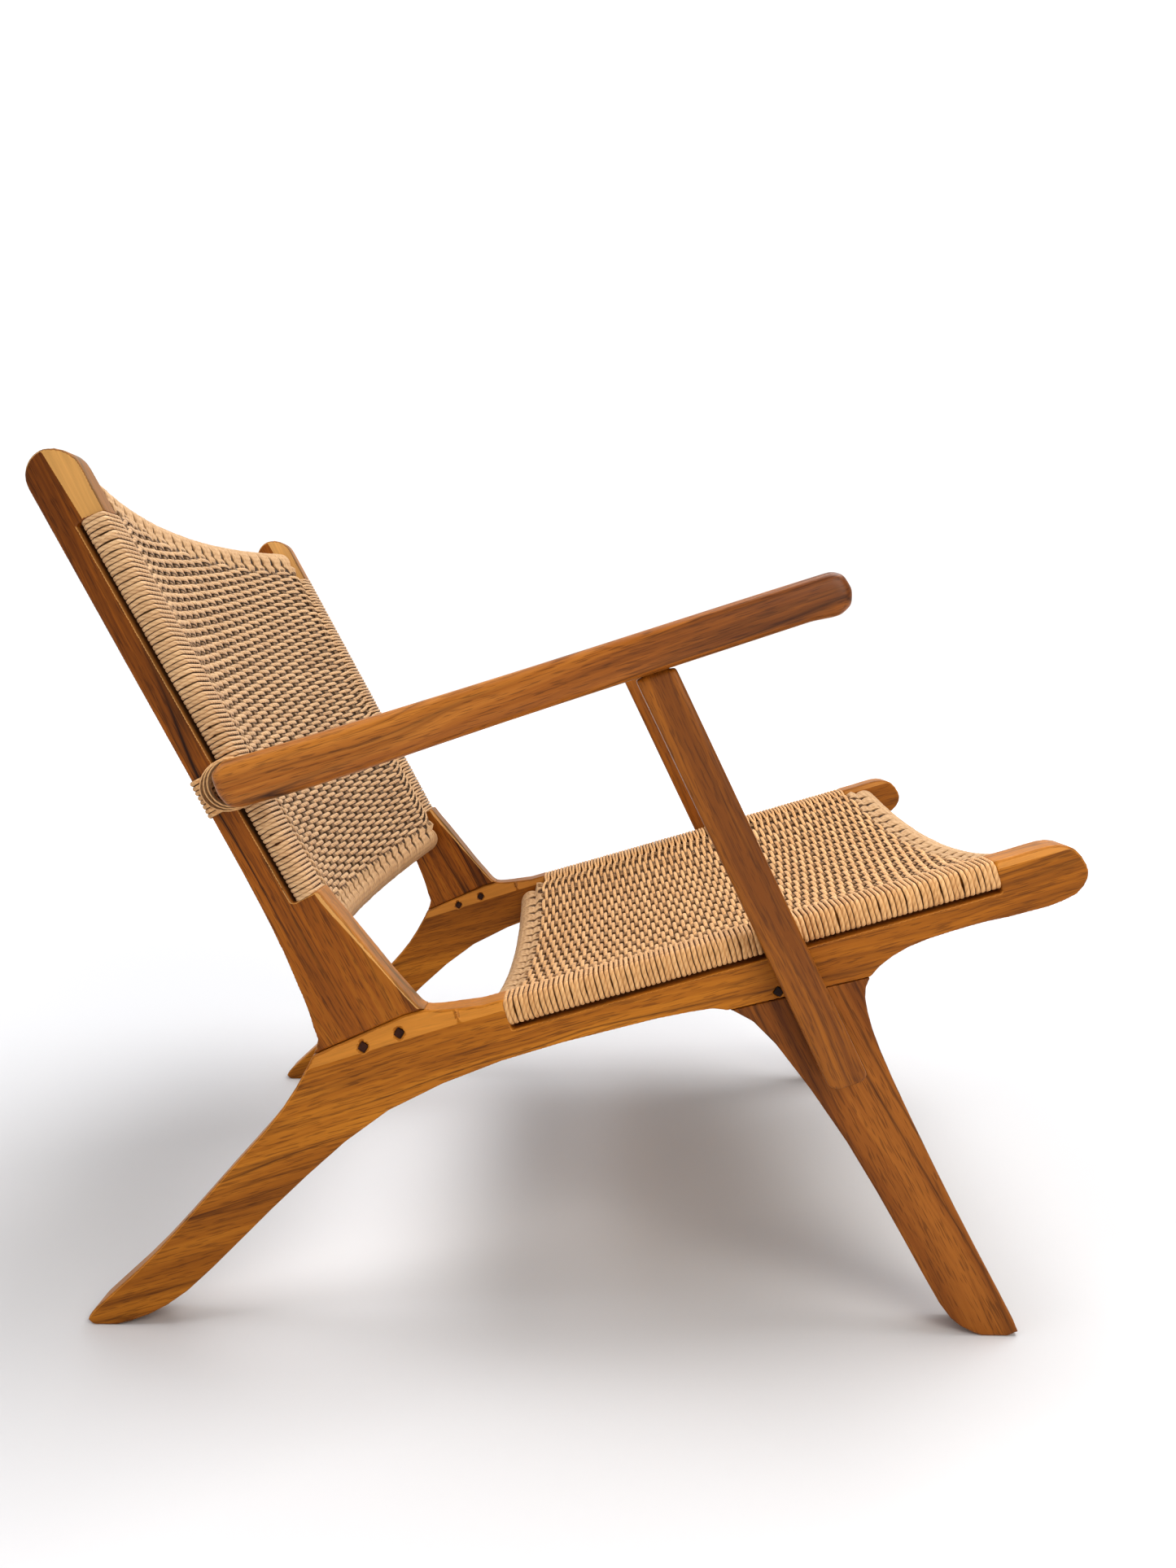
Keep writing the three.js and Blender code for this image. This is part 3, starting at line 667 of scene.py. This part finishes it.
def rail_point(panel, rail, x, out, around):
    """A point on a ring round a bowed cross rail, in the plane square to the rail."""
    u, n = rail
    centre = panel.plane(x, u, n - BOW * parabola(x))
    slope = 2 * BOW * np.asarray(x, float) / INNER ** 2
    tangent = np.stack([np.ones_like(slope), slope * panel.up[1], slope * panel.up[2]], axis=-1)
    tangent /= np.linalg.norm(tangent, axis=-1, keepdims=True)
    lift = panel.up - tangent * np.sum(tangent * panel.up, axis=-1, keepdims=True)
    lift /= np.linalg.norm(lift, axis=-1, keepdims=True)
    forward = np.broadcast_to(panel.along, lift.shape)
    c, s = np.cos(around)[..., None], np.sin(around)[..., None]
    radial = forward * c + lift * s
    return centre + radial * out, radial


def rail_turn(panel, rail, outward, x0, x):
    """A cord round a cross rail at x and off its top into the weave, drawn in to its group at x0."""
    turn = np.concatenate([np.linspace(-0.8 * np.pi, np.pi / 2 - 0.25, 15),
                           [np.pi / 2, np.pi / 2 + 0.22, np.pi / 2 + 0.42]])
    slant = 0.6 * np.sin(turn + rng.random())
    draw = settle_in(turn - 0.95, 1.0) * 0.36
    out = RAIL_R + CORD_R * 0.9 + rng.normal(0, 0.15)
    around = turn if outward > 0 else np.pi - turn
    ring, radial = rail_point(panel, rail, x - (x - x0) * draw + slant, out, around)
    x_in = x0 + (x - x0) * np.array([0.66, 0.56, 0.5, 0.45]) + slant[-1]
    u_in = rail[0] - outward * np.array([11.5, 15.0, 19.0, 24.0])
    dip = np.array([0.3, -0.6, -2.4, -4.2])
    tail = panel.plane(x_in, u_in, panel.surface(x_in, u_in) + dip)
    normal = np.concatenate([radial, np.broadcast_to(panel.up, tail.shape)])
    # painted shade: the tail is painted darker as it dives into the weave
    shade = np.concatenate([np.zeros(len(ring)), [0.1, 0.4, 0.8, 0.95]])
    return np.concatenate([ring, tail]), normal, CORD_R * 1.04, CORD_R * 0.94, False, shade


def notch_shadow_cord(panel, rail, outward, x):
    """A cord painted fully in shade, that crosses behind two groups of turns in the notch between
    them: a painted shadow for the notch.
    """
    turn = np.linspace(np.pi / 2 - 0.35, np.pi / 2 + 0.6, 6)
    around = turn if outward > 0 else np.pi - turn
    ring, radial = rail_point(panel, rail, x + 0 * turn, RAIL_R + 0.6, around)
    u_in = rail[0] - outward * np.array([14.0, 19.0])
    tail = panel.plane(x, u_in, panel.surface(x, u_in) - 3.0)
    normal = np.concatenate([radial, np.broadcast_to(panel.up, tail.shape)])
    return np.concatenate([ring, tail]), normal, CORD_R * 1.3, CORD_R * 0.8, False, 1.0


def rail_turns(panel, rail, outward, name, material):
    """Cords round a cross rail, in groups that draw in to their pair of warps, which leaves a
    notch between groups, darkened with painted shade. outward is the rail's side of the panel, 1 or
    -1."""
    pitch = GROUP / (2 * TURNS_EACH_WAY + 1)
    strands = []
    for x0 in GROUPS:
        for m in range(-TURNS_EACH_WAY, TURNS_EACH_WAY + 1):
            strands.append(rail_turn(panel, rail, outward, x0, x0 + m * pitch + rng.normal(0, 0.12)))
    # painted shadow: one dark cord in each notch between groups
    for x0 in GROUPS[1:]:
        strands.append(notch_shadow_cord(panel, rail, outward, x0 - GROUP / 2))
    return tube_mesh(name, strands, material)


seat = Panel(on_seat, start=1.5, end=408.5, bar_low=lambda u: SLOT_WIDTH,
             bar_high=lambda u: SEAT_BAR_TOP, low_rail=(-21.5, -3.0), high_rail=(430.0, 4.0),
             belly=4.5)
back = Panel(on_back, start=-45.5, end=295.5, bar_low=lambda w: slot_depth(w) + SLOT_WIDTH,
             bar_high=lambda w: BACK_BAR_FRONT, low_rail=(-77.0, 22.5), high_rail=(323.0, 24.0),
             belly=3.0)
for name, panel, rows, material in (("seat", seat, 96, STRAW), ("back", back, 84, FIELD)):
    half = rows // 2
    adopt(weft(panel, rows, f"{name}_weft_low", range(half), material),
          "cord_field", f"{name}_weave")
    adopt(weft(panel, rows, f"{name}_weft_high", range(half, rows), material),
          "cord_field", f"{name}_side_wrap_right", f"{name}_side_wrap_left")
    groups = list(enumerate(GROUPS))
    adopt(warp(panel, rows, groups[:RIGHT_GROUPS], f"{name}_warp_right", material), "cord_field")
    adopt(warp(panel, rows, groups[RIGHT_GROUPS:], f"{name}_warp_left", material), "cord_field")
for name, panel, rail, outward in (
        ("seat_rear", seat, seat.low_rail, -1), ("seat_front", seat, seat.high_rail, 1),
        ("back_bottom", back, back.low_rail, -1), ("back_top", back, back.high_rail, 1)):
    adopt(rail_turns(panel, rail, outward, f"{name}_turns", SMOOTH), "cord", f"{name}_wrap")

# ---------------------------------------------------------------- lashings at the arms
ARM_END_UP, ARM_END_OUT = 61.0, 34.0  # middle of the arm's end, along the post and in front of it
COLLAR_FRONT = 17.0                   # how far the collar reaches in front of that
# rings of the collar: out from the post, half width, how far it hangs behind the arm's end
COLLAR_RINGS = ((1.9, 19.6, 28.0), (1.9, 18.4, 24.6), (5.0, 19.2, 28.2), (5.0, 18.2, 23.6),
                (8.2, 19.7, 27.8), (8.8, 19.0, 24.4), (9.3, 18.2, 21.0))
POST_LOOPS, FIRST_LOOP, LOOP_PITCH = 8, 46.5, 4.1


def collar_ring(sign, out, width, hang):
    around = np.linspace(0, 2 * np.pi, 48, endpoint=False)
    wobble = 1 + 0.012 * np.sin(2 * around + rng.random() * 6)
    deep = (hang + COLLAR_FRONT) / 2
    points = on_back(sign * (HALF + out) + 0.25 * np.sin(around + rng.random() * 6),
                     ARM_END_UP + width * wobble * np.cos(around),
                     ARM_END_OUT - (hang - COLLAR_FRONT) / 2 + deep * wobble * np.sin(around))
    middle = on_back(0.0, ARM_END_UP, ARM_END_OUT)
    return points, points - np.array([sign * HALF, middle[1], middle[2]]), 1.95, 1.85, True, 0.0


def post_loop(sign, w):
    """A turn of the cord round the post's solid rear part, through its slot."""
    deep = slot_depth(w) + 1.9
    corners = np.array([(HALF + 1.7, 3), (HALF + 1.7, deep - 4), (HALF - 1.5, deep),
                        (HALF - 8, deep + 0.1), (INNER + 8, deep + 0.1), (INNER + 1.5, deep),
                        (INNER - 1.7, deep - 4), (INNER - 1.7, 3), (INNER + 0.5, -0.6),
                        (INNER + 6, -1.8), (HALF - 6, -1.8), (HALF - 0.5, -0.6)])
    ring = np.concatenate([corners, corners[:1]])
    points = resample(on_back(sign * ring[:, 0], w + rng.normal(0, 0.15), ring[:, 1]), 4.0)[:-1]
    return points, points - on_back(sign * (HALF + INNER) / 2, w, 10.0), 2.05, 1.85, True, 0.0


for side, sign in (("right", -1), ("left", 1)):
    collar = tube_mesh(f"lashing_collar_turns_{side}",
                       [collar_ring(sign, *ring) for ring in COLLAR_RINGS], STRAW)
    adopt(collar, "cord", f"lashing_collar_{side}")
    wrap = tube_mesh(f"lashing_post_turns_{side}",
                     [post_loop(sign, FIRST_LOOP + i * LOOP_PITCH) for i in range(POST_LOOPS)], STRAW)
    adopt(wrap, "cord", f"lashing_post_wrap_{side}")

# ---------------------------------------------------------------- floor and light
floor_mesh = bpy.data.meshes.new("floor")
floor_mesh.from_pydata([(-30, -30, 0), (30, -30, 0), (30, 30, 0), (-30, 30, 0)], [], [(0, 1, 2, 3)])
floor = bpy.data.objects.new("floor", floor_mesh)
scene.collection.objects.link(floor)
floor_mat, floor_tree, floor_shader = nodes_of("floor")
floor_shader.inputs["Base Color"].default_value = (0.72, 0.72, 0.725, 1)
floor_shader.inputs["Roughness"].default_value = 0.9
floor_shader.inputs["Specular IOR Level"].default_value = 0.1
# away from the chair the floor glows, so that it meets the white of the wall
glow = Build(floor_tree)
spread = glow.add("ShaderNodeVectorMath", {0: glow.coordinates("Object")}, operation="LENGTH")
far = glow.ramp(glow.math("DIVIDE", spread.outputs["Value"], 8.0),
                [(0.06, 0.0), (0.2, 0.2), (0.45, (0.72, 0.72, 0.725))])
floor_tree.links.new(far, floor_shader.inputs["Emission Color"])
floor_shader.inputs["Emission Strength"].default_value = 1.0
floor_mesh.materials.append(floor_mat)

world = bpy.data.worlds.new("world")
scene.world = world
world.use_nodes = True
background = world.node_tree.nodes["Background"]
sky = Build(world.node_tree)
toward = sky.split(sky.coordinates("Generated"))
aloft = sky.ramp(toward[2], [(0.5, 1.0), (0.85, (0.35, 0.36, 0.38))])
wall = sky.ramp(toward[0], [(0.42, (0.36, 0.36, 0.37)), (0.70, (0.98, 0.98, 0.985))])
world.node_tree.links.new(sky.mix(1.0, aloft, wall, "MULTIPLY"), background.inputs[0])
background.inputs[1].default_value = 0.9


def area(name, location, target, size, power, colour):
    data = bpy.data.lights.new(name, "AREA")
    data.size = size
    data.energy = power
    data.color = colour
    light = bpy.data.objects.new(name, data)
    light.location = location
    aim = Vector(target) - Vector(location)
    light.rotation_euler = aim.to_track_quat("-Z", "Y").to_euler()
    scene.collection.objects.link(light)


area("key", (0.35, -0.75, 3.0), (0, 0, 0.4), 2.4, 78, (0.99, 0.99, 1.0))
area("side", (-1.6, -0.8, 1.3), (-0.1, 0, 0.4), 1.1, 14.5, (1.0, 0.96, 0.9))
area("rear", (-0.6, 2.3, 2.6), (0, 0, 0.3), 2.6, 34, (0.98, 0.98, 1.0))

scene.view_settings.view_transform = "Standard"
scene.view_settings.look = "Medium High Contrast"
